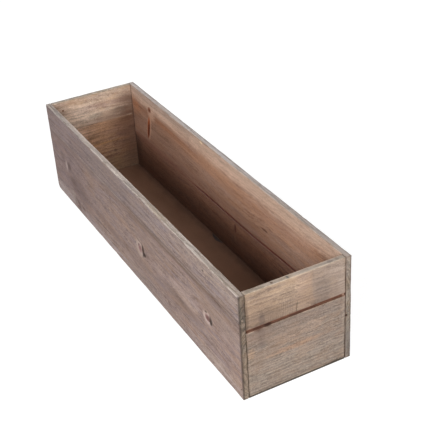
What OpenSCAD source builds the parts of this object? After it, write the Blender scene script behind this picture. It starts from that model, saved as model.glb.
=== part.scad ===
// Rustic wooden planter box. Each wall is two tongue-and-groove boards, one above
// the other. The end walls stand between the long sides and are held by pins
// driven in from outside. A thin floor panel closes the base.
// Lengths are in millimetres. X runs along the box, +X is the front end, and Z is
// up. The origin is the middle of the base. Left and right are as seen by someone
// who looks at the front end.

/* [Box] */
// Overall length
box_length = 610; // [460:10:760]
// Overall width
box_width = 150; // [134:2:220]
// Overall height
box_height = 148; // [144:1:190]

/* [Boards] */
// Thickness of the long side boards
side_thickness = 8; // [7:0.5:10]
// Thickness of the short end boards
end_thickness = 8; // [7:0.5:10]
// Planed-off corner along the outer edges of the boards
arris = 0.6; // [0.3:0.1:1]

/* [Seams] */
// Height of the seam in the left side, where its two boards meet
left_seam_height = 110; // [84:0.5:114]
// Height of the seam in the right side
right_seam_height = 63.5; // [46:0.5:80]
// Height of the seam in the front end
front_seam_height = 94.5; // [76:0.5:106]
// Height of the seam in the back end
back_seam_height = 97; // [76:0.5:106]
// Thickness of the tongues
tongue_thickness = 2.6; // [2:0.2:3.2]
// How far a tongue stands up from the seam
tongue_length = 6; // [5:0.5:8]
// Empty space in a groove above its tongue
groove_relief = 0.6; // [0.3:0.1:1.5]
// Height of the open joint that shows the tongue on the inside of a long side
side_open_joint = 3; // [1:0.5:4]
// Height of the open joint that shows the tongue on the outside of an end
end_open_joint = 4; // [1:0.5:4.5]
// Planed-off corner along a seam
seam_arris = 0.3; // [0.2:0.1:0.5]

/* [Floor] */
// Thickness of the floor panel
floor_thickness = 2.5; // [2:0.5:5]
// Gap between the floor panel and each long side
floor_side_gap = 0.2; // [0.1:0.1:0.6]
// How far the ends of the floor panel lie behind the end faces
floor_end_setback = 0.4; // [0:0.1:1]
// Length of the drain notch in the panel's right edge
notch_length = 34; // [20:1:50]
// Depth of the drain notch
notch_depth = 5; // [3:0.5:9]
// Place of the drain notch along the box, from the middle
notch_position = -17; // [-150:1:150]

/* [Pins] */
// Length of a pin with its head
pin_length = 25; // [20:1:26]
// Diameter of a pin's shank
pin_diameter = 1.2; // [1:0.1:1.6]
// Length of a pin's point
pin_point = 2; // [1:0.5:3]
// Diameter of a pin's head
pin_head_diameter = 2; // [1.8:0.1:3]
// Thickness of a pin's head
pin_head_thickness = 0.8; // [0.5:0.1:1]
// How far a pin's head is set below the surface
pin_set_depth = 0.2; // [0.1:0.1:0.5]
// Largest distance from a corner pin to the edge of its side board
corner_pin_inset = 14; // [12:1:16]
// Pins through the floor panel into each end
floor_pin_count = 3; // [2:1:4]
// Distance from the outer floor pins to the inner face of the nearer side
floor_pin_inset = 23; // [22:1:28]

/* [Hidden] */
$fn = 32;

// Signs of the X and Y directions that the ends and sides lie in
FRONT = 1;
BACK = -1;
LEFT = -1;
RIGHT = 1;

// Distance between the inner faces of the long sides
inner_width = box_width - 2 * side_thickness;
// Width of the floor panel
floor_width = inner_width - 2 * floor_side_gap;
// Distance from the middle of the box to the middle of an end board's thickness
end_middle_x = box_length / 2 - end_thickness / 2;
// Radius of the arc that cuts the drain notch
notch_radius = (pow(notch_length / 2, 2) + pow(notch_depth, 2)) / (2 * notch_depth);
// Distance between neighbouring floor pins
floor_pin_spacing = (inner_width - 2 * floor_pin_inset) / (floor_pin_count - 1);
// Spare length by which cutting shapes run past what they cut
cut_margin = 1;

// Distance from the pins to the edges of a board, at most a third of its height
function pin_inset(board_height) = min(corner_pin_inset, board_height / 3);

// Heights of the four corner pins that hold a side with its seam at seam_height
function corner_pin_heights(seam_height) =
    let (
        lower_inset = pin_inset(seam_height),
        upper_inset = pin_inset(box_height - seam_height)
    )
    [
        lower_inset,
        seam_height - lower_inset,
        seam_height + upper_inset,
        box_height - upper_inset
    ];

// Profiles have x across the board, from the face with the open joint, and y up.
// The tongue lies between these two places across the thickness.
function tongue_near(thickness) = (thickness - tongue_thickness) / 2;
function tongue_far(thickness) = (thickness + tongue_thickness) / 2;

// Lower board of a wall, with the tongue along its top edge
module lower_profile(thickness, bottom, seam_height) {
    near = tongue_near(thickness);
    far = tongue_far(thickness);
    polygon([
        [arris, bottom],
        [thickness - arris, bottom],
        [thickness, bottom + arris],
        [thickness, seam_height - seam_arris],
        [thickness - seam_arris, seam_height],
        [far, seam_height],
        [far, seam_height + tongue_length],
        [near, seam_height + tongue_length],
        [near, seam_height],
        [seam_arris, seam_height],
        [0, seam_height - seam_arris],
        [0, bottom + arris]
    ]);
}

// Upper board of a wall, with the groove along its bottom edge
module upper_profile(thickness, seam_height, open_joint) {
    near = tongue_near(thickness);
    far = tongue_far(thickness);
    groove_top = seam_height + tongue_length + groove_relief;
    open_joint_top = seam_height + open_joint;
    polygon([
        [arris, box_height],
        [0, box_height - arris],
        [0, open_joint_top + seam_arris],
        [seam_arris, open_joint_top],
        [near, open_joint_top],
        [near, groove_top],
        [far, groove_top],
        [far, seam_height],
        [thickness - seam_arris, seam_height],
        [thickness, seam_height + seam_arris],
        [thickness, box_height - arris],
        [thickness - arris, box_height]
    ]);
}

// One pin along Z, with its head down and its point up
module pin() {
    shank_length = pin_length - pin_point;
    cylinder(d = pin_head_diameter, h = pin_head_thickness);
    cylinder(d = pin_diameter, h = shank_length);
    translate([0, 0, shank_length])
        cylinder(d1 = pin_diameter, d2 = pin_diameter / 4, h = pin_point);
}

// Hole of one pin, open down to the surface and past it
module pin_hole() {
    pin();
    translate([0, 0, -pin_set_depth - cut_margin])
        cylinder(d = pin_head_diameter, h = cut_margin + pin_set_depth + pin_head_thickness);
}

// Places its child at each corner pin of one end and one side, pointing inward
module at_corner_pins(end, side, seam_height) {
    for (height = corner_pin_heights(seam_height))
        translate([end * end_middle_x, side * (box_width / 2 - pin_set_depth), height])
            rotate([side * 90, 0, 0])
                children();
}

// Places its child at each floor pin of one end, pointing up
module at_floor_pins(end) {
    for (i = [0 : floor_pin_count - 1])
        translate([
            end * end_middle_x,
            -inner_width / 2 + floor_pin_inset + i * floor_pin_spacing,
            pin_set_depth
        ])
            children();
}

// Stands a profile along one side and eases the vertical edges at its ends
module side_board(side) {
    half_length = box_length / 2;
    mirror([0, side == LEFT ? 1 : 0, 0])
        translate([0, box_width / 2 - side_thickness, 0])
            intersection() {
                rotate([90, 0, 90])
                    linear_extrude(height = box_length, center = true)
                        children();
                linear_extrude(height = box_height)
                    polygon([
                        [-half_length, 0],
                        [half_length, 0],
                        [half_length, side_thickness - arris],
                        [half_length - arris, side_thickness],
                        [arris - half_length, side_thickness],
                        [-half_length, side_thickness - arris]
                    ]);
            }
}

// Stands a profile across one end, between the long sides
module end_board(end) {
    mirror([end == FRONT ? 1 : 0, 0, 0])
        translate([-box_length / 2, 0, 0])
            rotate([90, 0, 0])
                linear_extrude(height = inner_width, center = true)
                    children();
}

// All the pin holes that reach into one side
module side_pin_holes(side, seam_height) {
    for (end = [BACK, FRONT])
        at_corner_pins(end, side, seam_height) pin_hole();
}

// All the pin holes that reach into one end
module end_pin_holes(end) {
    at_corner_pins(end, LEFT, left_seam_height) pin_hole();
    at_corner_pins(end, RIGHT, right_seam_height) pin_hole();
    at_floor_pins(end) pin_hole();
}

// Floor

module floor_panel() {
    floor_length = box_length - 2 * floor_end_setback;
    color("#4A3528")
        difference() {
            translate([-floor_length / 2, -floor_width / 2, 0])
                cube([floor_length, floor_width, floor_thickness]);
            translate([
                notch_position,
                floor_width / 2 - notch_depth + notch_radius,
                -cut_margin
            ])
                cylinder(r = notch_radius, h = floor_thickness + 2 * cut_margin, $fn = 96);
            for (end = [BACK, FRONT])
                at_floor_pins(end) pin_hole();
        }
}

// Ends

module front_lower_board() {
    color("#A08C7C")
        difference() {
            end_board(FRONT) lower_profile(end_thickness, floor_thickness, front_seam_height);
            end_pin_holes(FRONT);
        }
}

module front_upper_board() {
    color("#B59E84")
        difference() {
            end_board(FRONT) upper_profile(end_thickness, front_seam_height, end_open_joint);
            end_pin_holes(FRONT);
        }
}

module back_lower_board() {
    color("#8A705A")
        difference() {
            end_board(BACK) lower_profile(end_thickness, floor_thickness, back_seam_height);
            end_pin_holes(BACK);
        }
}

module back_upper_board() {
    color("#B09374")
        difference() {
            end_board(BACK) upper_profile(end_thickness, back_seam_height, end_open_joint);
            end_pin_holes(BACK);
        }
}

// Long sides

module left_lower_board() {
    color("#85746B")
        difference() {
            side_board(LEFT) lower_profile(side_thickness, 0, left_seam_height);
            side_pin_holes(LEFT, left_seam_height);
        }
}

module left_upper_board() {
    color("#8F827C")
        difference() {
            side_board(LEFT) upper_profile(side_thickness, left_seam_height, side_open_joint);
            side_pin_holes(LEFT, left_seam_height);
        }
}

module right_lower_board() {
    color("#7C6353")
        difference() {
            side_board(RIGHT) lower_profile(side_thickness, 0, right_seam_height);
            side_pin_holes(RIGHT, right_seam_height);
        }
}

module right_upper_board() {
    color("#93786A")
        difference() {
            side_board(RIGHT) upper_profile(side_thickness, right_seam_height, side_open_joint);
            side_pin_holes(RIGHT, right_seam_height);
        }
}

// Pins

module front_left_corner_pins() {
    color("#6E6A66") at_corner_pins(FRONT, LEFT, left_seam_height) pin();
}

module front_right_corner_pins() {
    color("#6E6A66") at_corner_pins(FRONT, RIGHT, right_seam_height) pin();
}

module back_left_corner_pins() {
    color("#6E6A66") at_corner_pins(BACK, LEFT, left_seam_height) pin();
}

module back_right_corner_pins() {
    color("#6E6A66") at_corner_pins(BACK, RIGHT, right_seam_height) pin();
}

module front_floor_pins() {
    color("#6E6A66") at_floor_pins(FRONT) pin();
}

module back_floor_pins() {
    color("#6E6A66") at_floor_pins(BACK) pin();
}

floor_panel();
front_lower_board();
front_upper_board();
back_lower_board();
back_upper_board();
left_lower_board();
left_upper_board();
right_lower_board();
right_upper_board();
front_left_corner_pins();
front_right_corner_pins();
back_left_corner_pins();
back_right_corner_pins();
front_floor_pins();
back_floor_pins();
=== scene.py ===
import itertools
from dataclasses import dataclass

import bpy
import numpy as np
from mathutils import Matrix, Vector


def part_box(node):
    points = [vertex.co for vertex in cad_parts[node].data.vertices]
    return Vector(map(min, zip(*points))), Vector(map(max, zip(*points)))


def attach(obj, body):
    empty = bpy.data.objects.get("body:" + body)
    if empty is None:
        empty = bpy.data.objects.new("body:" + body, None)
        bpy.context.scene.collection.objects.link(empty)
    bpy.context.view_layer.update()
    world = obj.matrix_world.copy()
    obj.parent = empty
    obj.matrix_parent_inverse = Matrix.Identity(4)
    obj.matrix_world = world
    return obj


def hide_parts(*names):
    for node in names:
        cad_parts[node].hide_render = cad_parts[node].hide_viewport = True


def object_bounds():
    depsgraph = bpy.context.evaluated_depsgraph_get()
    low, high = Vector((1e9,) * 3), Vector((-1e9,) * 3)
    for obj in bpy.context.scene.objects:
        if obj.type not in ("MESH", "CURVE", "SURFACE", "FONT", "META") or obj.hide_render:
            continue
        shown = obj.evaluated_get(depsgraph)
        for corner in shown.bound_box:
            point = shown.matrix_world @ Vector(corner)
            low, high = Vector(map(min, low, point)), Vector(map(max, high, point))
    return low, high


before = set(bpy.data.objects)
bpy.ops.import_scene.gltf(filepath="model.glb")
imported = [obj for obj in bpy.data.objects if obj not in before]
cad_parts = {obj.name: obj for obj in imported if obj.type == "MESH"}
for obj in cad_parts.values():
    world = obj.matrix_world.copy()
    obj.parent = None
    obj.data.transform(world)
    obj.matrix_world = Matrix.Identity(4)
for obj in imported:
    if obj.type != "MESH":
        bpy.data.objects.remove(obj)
cad_low, cad_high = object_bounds()

# A planter box of eight worn boards, a floor panel and pins, on a pale floor under soft light.
# Lengths are in millimetres up to the last step of each mesh. On a board, s runs along the grain,
# t goes in from the outer face, and h is the height above the ground.
METRE = 1000.0
HALF_LENGTH = cad_high.x * METRE
HALF_WIDTH = cad_high.y * METRE
BOARD_THICKNESS = 8.0
TONGUE_THICKNESS = 2.6
TONGUE_START = (BOARD_THICKNESS - TONGUE_THICKNESS) / 2
TONGUE_END = (BOARD_THICKNESS + TONGUE_THICKNESS) / 2
GROOVE_RELIEF = 0.6
SIDE_OPEN_JOINT = 3.0
END_OPEN_JOINT = 4.0
FLOOR_THICKNESS = 2.5
PANEL_EDGE = 0.35
NOTCH_MIDDLE = -17.0
NOTCH_HALF_LENGTH = 17.0
NOTCH_DEPTH = 5.0
PIN_INSET = 14.0
PIN_PLACE = HALF_LENGTH - BOARD_THICKNESS / 2
PIT_RADIUS = 1.7
PIT_FLOOR_RADIUS = 0.95
PIT_DEPTH = 0.42
# How far the edge over an open joint comes down where the joint closes
LIP_DROP = 2.95
# Edges sharper than this, in degrees, stay crisp
SHARP_ANGLE = 48
SHEEN = 0.25

# Spacing of the points on the boards and the panel: over a face, near an edge and near a detail
SIDE_STEP_ALONG = 5.5
SIDE_STEP_UP = 1.9
END_STEP_ALONG = 2.4
END_STEP_UP = 0.75
STEP_THROUGH = 1.4
EDGE_STEP = 0.36
EDGE_REACH = 0.9
PIT_STEP = 0.62
PIT_REACH = 1.9
PANEL_STEP_ALONG = 10.0
PANEL_STEP_ACROSS = 8.0
PANEL_EDGE_STEP = 0.4
PANEL_EDGE_REACH = 0.8
NOTCH_STEP = 1.2
NOTCH_REACH = 18.0


def tone(code):
    """A colour given as it shows on a screen, in hexadecimal, as the linear colour that nodes take."""
    shares = [value / 255 for value in bytes.fromhex(code)]
    return tuple(
        share / 12.92 if share < 0.04 else ((share + 0.055) / 1.055) ** 2.4 for share in shares
    ) + (1.0,)


# Sums that work both on arrays of points and on the values of a material


class Field:
    """A number that nodes work out at each place on a surface. Sums of fields add nodes."""

    def __init__(self, tree, socket):
        self.tree = tree
        self.socket = socket

    def math(self, operation, *others):
        values = enumerate((self,) + others)
        return Field(self.tree, add_node(self.tree, "Math", values, operation=operation).outputs[0])

    def __add__(self, other):
        return self.math("ADD", other)

    def __sub__(self, other):
        return self.math("SUBTRACT", other)

    def __rsub__(self, other):
        return self.math("MULTIPLY_ADD", -1.0, other)

    def __mul__(self, other):
        return self.math("MULTIPLY", other)

    def __truediv__(self, other):
        return self.math("DIVIDE", other)

    __radd__ = __add__


def join(tree, socket, value):
    """Sets an input to a number or a colour, or links it to a field or an output."""
    if isinstance(value, Field):
        tree.links.new(value.socket, socket)
    elif isinstance(value, bpy.types.NodeSocket):
        tree.links.new(value, socket)
    else:
        socket.default_value = tone(value) if isinstance(value, str) else value


def add_node(tree, kind, inputs=(), **settings):
    """Adds a node with its settings, and with a value for each named or numbered input."""
    node = tree.nodes.new("ShaderNode" + kind)
    for key, setting in settings.items():
        setattr(node, key, setting)
    for key, value in dict(inputs).items():
        join(tree, node.inputs[key], value)
    return node


def root(x):
    return x.math("SQRT") if isinstance(x, Field) else np.sqrt(x)


def bell(x):
    """Falls from 1 towards 0 as x, the square of a distance, grows."""
    return (x * -1.0).math("EXPONENT") if isinstance(x, Field) else np.exp(-x)


def sine(x):
    return x.math("SINE") if isinstance(x, Field) else np.sin(x)


def smooth(x, low, high):
    """Rises smoothly from 0 at low to 1 at high, or falls if high is the lower one."""
    if isinstance(x, Field):
        rises = low < high
        limits = {"Value": x, "From Min": min(low, high), "From Max": max(low, high),
                  "To Min": 0.0 if rises else 1.0, "To Max": 1.0 if rises else 0.0}
        node = add_node(x.tree, "MapRange", limits, interpolation_type="SMOOTHSTEP")
        return Field(x.tree, node.outputs["Result"])
    if low > high:
        return 1.0 - smooth(x, high, low)
    part = np.clip((x - low) / (high - low), 0, 1)
    return part * part * (3 - 2 * part)


def noise(seed, *places):
    """Smooth noise from -1 to 1, with a bump or a hollow about every unit of each place."""
    places = np.broadcast_arrays(*places)
    cells = [np.floor(place).astype(np.int64) for place in places]
    parts = [place - cell for place, cell in zip(places, cells)]
    parts = [part * part * (3 - 2 * part) for part in parts]
    total = np.zeros(places[0].shape)
    for corner in itertools.product((0, 1), repeat=len(places)):
        code = np.full(total.shape, seed * 2654435761 % 2**32, np.int64)
        weight = np.ones(total.shape)
        for cell, part, step, prime in zip(cells, parts, corner, (73856093, 19349663, 83492791)):
            code ^= (cell + step) * prime
            weight = weight * (part if step else 1 - part)
        code = (code ^ (code >> 13)) & 0xFFFFFFFF
        code = (code * 1274126177) & 0xFFFFFFFF
        code ^= code >> 16
        total += weight * ((code & 0xFFFF) / 32767.5 - 1)
    return total


# What each board is like. A knot, slit or saw mark lies on the outer or the inner face ("out" or "in"),
# and a stain or a patch of painted light or shade also on the top edge ("up") or the end grain ("end").


@dataclass
class Spot:
    """A knot, or a stain or patch of painted light or shade, with its middle and its half sizes along and
    across the grain.
    """

    face: str
    s: float
    h: float
    along: float
    across: float


@dataclass
class Knot(Spot):
    """With lean 1 or -1 the rim is dark on that side alone, and has the halo's colour on the other."""

    core: str
    ring: str
    rim: str
    halo: str = None
    crack: float = 1.0
    rim_share: float = 0.75
    lean: int = 0

    def distance(self, s, h):
        """Distance from the middle, with 1 at the rim."""
        along = (s - self.s) / self.along
        across = (h - self.h) / self.across
        return root(along * along + across * across + 1e-6)


@dataclass
class StainAndShading(Spot):
    """A light or dark mark: a real stain, painted shade where the box shades its own wood, or painted
    light. On a top edge, h is the depth below the outer face. On end grain, s is that depth. A mark on
    top also covers the raw wood of the joints."""

    colour: str
    amount: float
    soft: float = 0.5
    streak: float = 0.45
    rough: float = 0.4
    slant: float = 0.0
    on_top: bool = False

    def turn(self):
        """The angle of the mark to the grain, or for a slant over 1, to the upright."""
        steep = np.pi / 2 if abs(self.slant) > 1 else 0.0
        return float(np.arctan(self.slant) - steep)


def on(face, rows, on_top=False):
    """The marks on one face, real stain marks and patches of painted light or shade alike. A row has the
    values of one mark in the order of its class.
    """
    return [StainAndShading(face, *row, on_top=on_top) for row in rows]


@dataclass
class Grain:
    """Growth rings round a pith that lies away from the board, bent by waves and knots."""

    pith_t: float
    pith_h: float
    pitch: float
    wave: float
    phase: float
    slope: float = 0.0

    def flow(self, s, h, knots):
        """The height at which each place would lie if its fibres were straight and level. Each knot
        comes with how much it bends them there."""
        for one, share in knots:
            ds = (s - one.s) / (one.along * 3.0)
            dh = (h - one.h) / (one.across * 2.2)
            h = h - (h - one.h) * bell(ds * ds + dh * dh) * (share * 0.85)
        wave = sine(s * 0.0093 + self.phase) + sine(s * 0.0257 + h * 0.011 + self.phase * 2.3) * 0.45
        wave = wave + sine(s * 0.071 + h * 0.037 + self.phase * 5.1) * 0.12
        return h - s * self.slope - wave * self.wave

    def rings(self, t, line):
        """How many rings lie between the pith and each place."""
        depth = t - self.pith_t
        rise = line - self.pith_h
        distance = root(depth * depth + rise * rise)
        uneven = sine(distance * 0.31 + self.phase) * 0.35 + sine(distance * 0.117) * 0.6
        return distance / self.pitch + uneven


def late_wood(rings):
    """The dark share of each ring: it grows slowly and ends at once."""
    part = rings.math("FRACT")
    return smooth(part, 0.25, 0.9) * smooth(part, 1.0, 0.93)


WALLS = {
    # axis across the wall, side that it stands on, place of its outer face, open joint inside
    "left": ("y", -1.0, HALF_WIDTH, True),
    "right": ("y", 1.0, HALF_WIDTH, True),
    "front": ("x", 1.0, HALF_LENGTH, False),
    "back": ("x", -1.0, HALF_LENGTH, False),
}


@dataclass
class Board:
    """One board of a wall.

    contrast: how much the rings, strands, flecks, broad patches, mottling and grit show
    slits: face, first place, last place, width, depth and seed of each crack
    saws: face, pitch, depth, first and last s, first and last h, if the lines are upright, unevenness
    relief: height of the rings
    gaps: how far each end of an end board is worn back at its outer face
    worn_corner: end and radius of a rounded low corner
    tight: stretch along the board over which the open joint closes
    raw: light and dark colour of the bare wood in the joint
    seam_edge, free_edge: radius of the worn edge at the seam and of the other one
    bow: how far the seam sags in the middle"""

    wall: str
    part: str
    seed: int
    grain: Grain
    palette: dict
    contrast: tuple
    knots: tuple = ()
    stains_and_shading: tuple = ()
    slits: tuple = ()
    saws: tuple = ()
    relief: float = 0.07
    gaps: tuple = (0.3, 0.3)
    worn_corner: tuple = None
    tight: tuple = None
    raw: tuple = ("8c5c42", "543224")
    seam_edge: float = 0.32
    free_edge: float = 0.6
    bow: float = 0.0

    def __post_init__(self):
        self.node = self.wall + "_" + self.part + "_board"
        self.slot = self.wall + "_wood"
        lower_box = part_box(self.wall + "_lower_board")
        upper_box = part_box(self.wall + "_upper_board")
        self.axis, self.side, self.face_place, self.open_inside = WALLS[self.wall]
        along = 0 if self.axis == "y" else 1
        self.start, self.stop = (corner[along] * METRE for corner in lower_box)
        self.bottom, self.tongue_top = (corner.z * METRE for corner in lower_box)
        self.seam, self.top = (corner.z * METRE for corner in upper_box)
        is_lower = self.part == "lower"
        self.low, self.high = (self.bottom, self.seam) if is_lower else (self.seam, self.top)
        on_side = self.axis == "y"
        self.lip = self.seam + (SIDE_OPEN_JOINT if on_side else END_OPEN_JOINT)
        self.groove_top = self.tongue_top + GROOVE_RELIEF
        inset = min(PIN_INSET, (self.high - self.low) / 3)
        self.pins = [self.low + inset, self.high - inset] if on_side else []

    def places(self, s, t, h):
        """World places of board places."""
        across = (self.face_place - t) * self.side
        return (s, across, h) if self.axis == "y" else (across, s, h)

    def mirrored(self):
        return (self.side > 0) == (self.axis == "y")


# Meshes of the boards


def stations(breaks, step, details):
    """Places from the first break to the last, closer together near the details."""
    found = [breaks[0]]
    for low, high in zip(breaks, breaks[1:]):
        x = np.linspace(low, high, 3001)
        spacing = np.full(x.shape, step)
        for place, reach, fine in details:
            near = smooth(np.abs(x - place), reach, reach * 3)
            spacing = np.minimum(spacing, fine + (step - fine) * near)
        density = 1 / spacing
        counted = np.concatenate([[0], np.cumsum((density[1:] + density[:-1]) / 2 * np.diff(x))])
        cells = max(1, int(round(counted[-1])))
        found += list(np.interp(np.linspace(0, counted[-1], cells + 1)[1:], counted, x))
    return np.array(found)


def fine_ends(low, high, reach=EDGE_REACH, step=EDGE_STEP):
    """Details that draw the points together near both ends of a stretch."""
    return [(place, reach, step) for place in (low, high)]


def skin(solid, s, t, h):
    """The places and faces round the solid cells of a cross-section that runs on along s."""
    number = np.arange(len(s) * len(t) * len(h)).reshape(len(s), len(t), len(h))
    padded = np.pad(solid, 1)
    faces = []

    def add(corners, flip):
        quads = np.stack([corner.ravel() for corner in corners], 1)
        faces.append(quads[:, ::-1] if flip else quads)

    for j, k in zip(*np.nonzero(padded[1:, 1:-1] != padded[:-1, 1:-1])):
        line = number[:, j]
        add((line[:-1, k], line[1:, k], line[1:, k + 1], line[:-1, k + 1]), padded[j, k + 1])
    for j, k in zip(*np.nonzero(padded[1:-1, 1:] != padded[1:-1, :-1])):
        line = number[:, :, k]
        add((line[:-1, j], line[1:, j], line[1:, j + 1], line[:-1, j + 1]), not padded[j + 1, k])
    j, k = np.nonzero(solid)
    for cap, flip in ((number[0], True), (number[-1], False)):
        add((cap[j, k], cap[j + 1, k], cap[j + 1, k + 1], cap[j, k + 1]), flip)
    quads = np.concatenate(faces)
    used, corners = np.unique(quads.ravel(), return_inverse=True)
    i, rest = np.divmod(used, len(t) * len(h))
    j, k = np.divmod(rest, len(h))
    return s[i], t[j], h[k], corners.reshape(quads.shape)


def eased(point, low, high, radius):
    """Places on a box moved in to where its edges and corners are rounded off."""
    core = np.clip(point, low + radius, high - radius)
    away = point - core
    size = np.linalg.norm(away, axis=-1, keepdims=True)
    return np.where(size > 1e-9, core + away / np.maximum(size, 1e-9) * radius, point)


def slit_depth(slit, s, h):
    """How deep a crack or gouge is: it follows a line between two places and wanders a little."""
    _, s0, h0, s1, h1, width, depth, seed = slit
    length = np.hypot(s1 - s0, h1 - h0)
    run = ((s - s0) * (s1 - s0) + (h - h0) * (h1 - h0)) / length
    off = ((s - s0) * (h1 - h0) - (h - h0) * (s1 - s0)) / length
    off = off + noise(seed, run / 5.0) * width * 0.4
    ends = smooth(run, 0, length * 0.15) * smooth(run, length, length * 0.85)
    return depth * ends * smooth(np.abs(off), width / 2, width * 0.15)


def face_relief(board, face, s, h):
    """How far each place on a face lies behind the flat face, and how deep it lies in saw marks."""
    wide = noise(board.seed, s / 70, h / 26) * 0.09 + noise(board.seed + 1, s / 23, h / 7) * 0.05
    t = 0.0 if face == "out" else BOARD_THICKNESS
    knots_here = [(spot, 1.0) for spot in board.knots if spot.face == face]
    rings = board.grain.rings(t, board.grain.flow(s, h, knots_here))
    depth = 0.22 + wide + board.relief * (0.5 + 0.5 * np.cos(rings * 2 * np.pi))
    depth += noise(board.seed + 2, s / 34, h / 1.7) * 0.035
    for spot in board.knots:
        if spot.face == face:
            k = spot.distance(s, h) + noise(board.seed + 3, s / 3, h / 3) * 0.06
            depth += 0.3 * np.exp(-(((k - 1.0) / 0.14) ** 2)) * spot.crack
            depth -= 0.16 * np.exp(-((k / 1.7) ** 2)) - 0.12 * smooth(k, 0.8, 0.2)
    for slit in board.slits:
        if slit[0] == face:
            depth += slit_depth(slit, s, h)
    hollow = np.zeros(depth.shape)
    for saw_face, pitch, deep, s0, s1, h0, h1, upright, uneven in board.saws:
        if saw_face == face:
            run, other = (s, h) if upright else (h, s)
            wander = noise(board.seed + 4, run / (pitch * 3), other / 60) * pitch * uneven
            line = 0.5 + 0.5 * np.cos((run + wander) / pitch * 2 * np.pi)
            fade = smooth(s, s0 - 4, s0 + 4) * smooth(s, s1 + 4, s1 - 4)
            fade = fade * smooth(h, h0 - 5, h0 + 5) * smooth(h, h1 + 5, h1 - 5)
            line = line * fade * (1 - uneven * 0.4 + uneven * 0.4 * noise(board.seed + 5, s / 11, h / 6))
            depth += deep * line
            hollow += line * min(1.0, deep / 0.4)
    return depth, hollow


def pin_pits(board, s, h):
    """How deep the wood is dented over the heads of the corner pins."""
    depth = np.zeros(np.broadcast(s, h).shape)
    for place in board.pins:
        for end in (-1, 1):
            gap = np.hypot(s - end * PIN_PLACE, h - place)
            depth = np.maximum(depth, PIT_DEPTH * smooth(gap, PIT_RADIUS, PIT_FLOOR_RADIUS))
    return depth


def rounded(board, s, t, h, to_end):
    """Rounds off the edges of a board, each by its own radius, but not those of the tongue."""
    seed = board.seed
    body = (h >= board.low - 1e-6) & (h <= board.high + 1e-6)
    seam_edge = board.seam_edge * (1 + 0.38 * noise(seed + 6, s / 14))
    free_edge = board.free_edge * (1 + 0.47 * noise(seed + 7, s / 31) + 0.35 * noise(seed + 8, s / 9))
    free_edge += 0.9 * smooth(noise(seed + 9, s / 17), 0.62, 0.95)
    at_top = h > (board.low + board.high) / 2
    free = at_top if board.part == "upper" else ~at_top
    long_edge = np.where(free, free_edge, seam_edge)
    if board.axis == "y":
        end_edge = 0.6 + 0.25 * noise(seed + 10, h / 17) + 0.2 * noise(seed + 11, h / 5)
    else:
        end_edge = 0.3 + 0.12 * noise(seed + 10, h / 9)
    share = smooth(to_end, 1.5, 6.0)
    radius = np.clip(end_edge + (long_edge - end_edge) * share, 0.1, 2.4)
    point = np.stack([s, t, h], -1)
    low = np.array([board.start, 0.0, board.low])
    high = np.array([board.stop, BOARD_THICKNESS, board.high])
    point = np.where(body[..., None], eased(point, low, high, radius[..., None]), point)
    return (point[..., i] for i in range(3))


def cornered(board, s, h):
    """Rounds off the worn low corner of a board."""
    end, radius = board.worn_corner
    from_end = np.clip(radius - (s - board.start if end < 0 else board.stop - s), 0, radius)
    from_base = np.clip(radius - (h - board.bottom), 0, radius)
    shrink = np.maximum(from_end, from_base) / np.maximum(np.hypot(from_end, from_base), 1e-6)
    return s + from_end * (1 - shrink) * -end, h + from_base * (1 - shrink)


def worn(board, s, t, h):
    """Moves the points of a board from its sharp, flat form to its worn form."""
    seed = board.seed
    thick = BOARD_THICKNESS
    to_end = np.minimum(s - board.start, board.stop - s)
    s2, t2, h2 = rounded(board, s, t, h, to_end)
    outer, outer_hollow = face_relief(board, "out", s, h)
    inner, inner_hollow = face_relief(board, "in", s, h)
    hollow = np.where(t < 0.01, outer_hollow, np.where(t > thick - 0.01, inner_hollow, 0.0))
    if board.axis == "y":
        outer = outer + pin_pits(board, s, h)
    part = np.clip(t / thick, 0, 1)
    t2 = t2 + outer * (1 - part) - inner * part
    near_long = smooth(np.abs(h - np.where(board.part == "upper", board.top, board.bottom)), 7.0, 0.0)
    wave = 0.22 + 0.1 * noise(seed + 12, s / 37, t / 9) + 0.1 * noise(seed + 13, s / 11, t / 2.2)
    h2 = h2 - near_long * wave * (1 if board.part == "upper" else -1)
    near_end = smooth(to_end, 5.0, 0.0) * np.where(s > 0, 1, -1)
    rough = 0.14 + 0.08 * noise(seed + 14, h / 2.3, t / 1.1) + 0.06 * noise(seed + 15, h / 13, t / 5)
    if board.axis == "x":
        gap = np.where(s < 0, board.gaps[0], board.gaps[1]) * smooth(t, 3.5, 0.0)
        rough = rough + gap * (0.7 + 0.5 * noise(seed + 16, h / 6) + 0.3 * noise(seed + 17, h / 1.9))
    s2 = s2 - near_end * rough
    if board.tight:
        lip = smooth(s, *board.tight) * smooth(t, 5.0, 5.3)
        above = h - board.lip
        h2 = h2 - LIP_DROP * lip * smooth(above, 9.0, 0.0) * (above > -0.01)
    sag = board.bow * smooth(s, 210.0, 60.0) * smooth(s, -290.0, -100.0)
    levels = [board.bottom, board.seam, board.tongue_top, board.top]
    h2 = h2 - sag * np.interp(h, levels, [0.0, 1.0, 1.0, 0.0])
    if board.worn_corner:
        s2, h2 = cornered(board, s2, h2)
    return (s2, t2, h2), hollow


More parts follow.
